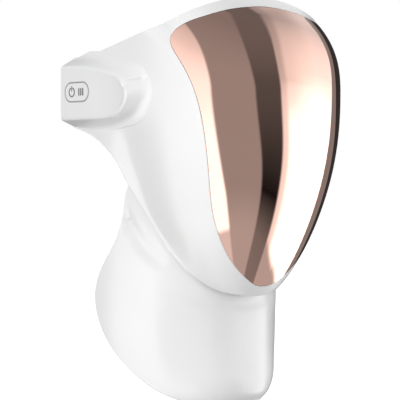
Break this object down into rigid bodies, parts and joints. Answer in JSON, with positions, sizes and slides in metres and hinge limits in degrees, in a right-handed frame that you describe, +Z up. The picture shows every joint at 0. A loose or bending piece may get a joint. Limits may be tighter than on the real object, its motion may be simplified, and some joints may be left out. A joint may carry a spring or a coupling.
{
  "type": "led face mask",
  "caption": "Rigid light therapy face mask: mirrored front visor in a white frame with side pods, and a tilting neck piece below.",
  "frame": {"origin": "the point between the eyes where the nose pad meets the bridge of the wearer's nose", "axes": "+Z up, -Y the way the face looks, +X towards the wearer's left; at rest the neck piece is at its forward stop"},
  "size_m": [0.1842, 0.1635, 0.292],
  "materials": {
    "white_shell": "satin white moulded plastic",
    "visor_mirror": "rose gold mirror coating on moulded polycarbonate",
    "inner_clear": "milky translucent polycarbonate",
    "silicone": "soft matt silicone",
    "carrier_dark": "black moulded plastic",
    "board": "white solder mask",
    "green_board": "green solder mask",
    "led": "clear epoxy over a warm phosphor",
    "ribbon": "amber polyimide",
    "steel": "bright zinc plated",
    "nylon": "natural nylon",
    "battery": "crimped foil pouch",
    "foam": "black foam tape",
    "chip": "black moulded epoxy",
    "print_grey": "grey pad print"
  },
  "bodies": {
    "root": {"face_frame": "white_shell", "front_visor": "visor_mirror", "visor_gasket": "foam", "visor_carrier": "carrier_dark", "inner_shell": "inner_clear", "rim_seal": "silicone", "eye_shield": "silicone", "nose_pad": "silicone", "forehead_pad": "silicone", "forehead_led_board": "board", "right_cheek_led_board": "board", "left_cheek_led_board": "board", "chin_led_board": "board", "board_ribbons": "ribbon", "face_leds": "led", "frame_screws": "steel", "pod_screws": "steel", "strap_bars": "steel", "control_board": "green_board", "control_chip": "chip", "tact_switch": "chip", "button_bezel": "print_grey", "battery_cell": "battery", "battery_pad": "foam", "charge_board": "green_board", "usb_c_port": "steel", "hinge_washers": "nylon", "right_pod_cover": "white_shell", "left_pod_cover": "white_shell", "right_arm_end_cap": "white_shell", "left_arm_end_cap": "white_shell", "right_hinge_pin": "steel", "left_hinge_pin": "steel"},
    "button": {"power_button": "white_shell", "power_icon": "print_grey", "level_bars": "print_grey", "switch_plunger": "nylon"},
    "neck": {"neck_outer_shell": "white_shell", "neck_inner_shell": "inner_clear", "neck_edge_trim": "silicone", "neck_led_board": "board", "neck_leds": "led"}
  },
  "joints": [
    {"name": "button_press", "type": "slide", "parent": "root", "child": "button", "axis": [1, 0, 0], "range_m": [0, 0.0006], "stiffness_N_per_m": 600},
    {"name": "neck_tilt", "type": "hinge", "parent": "root", "child": "neck", "pos_m": [0, 0.054, -0.04], "axis": [1, 0, 0], "range_deg": [0, 12]}
  ]
}
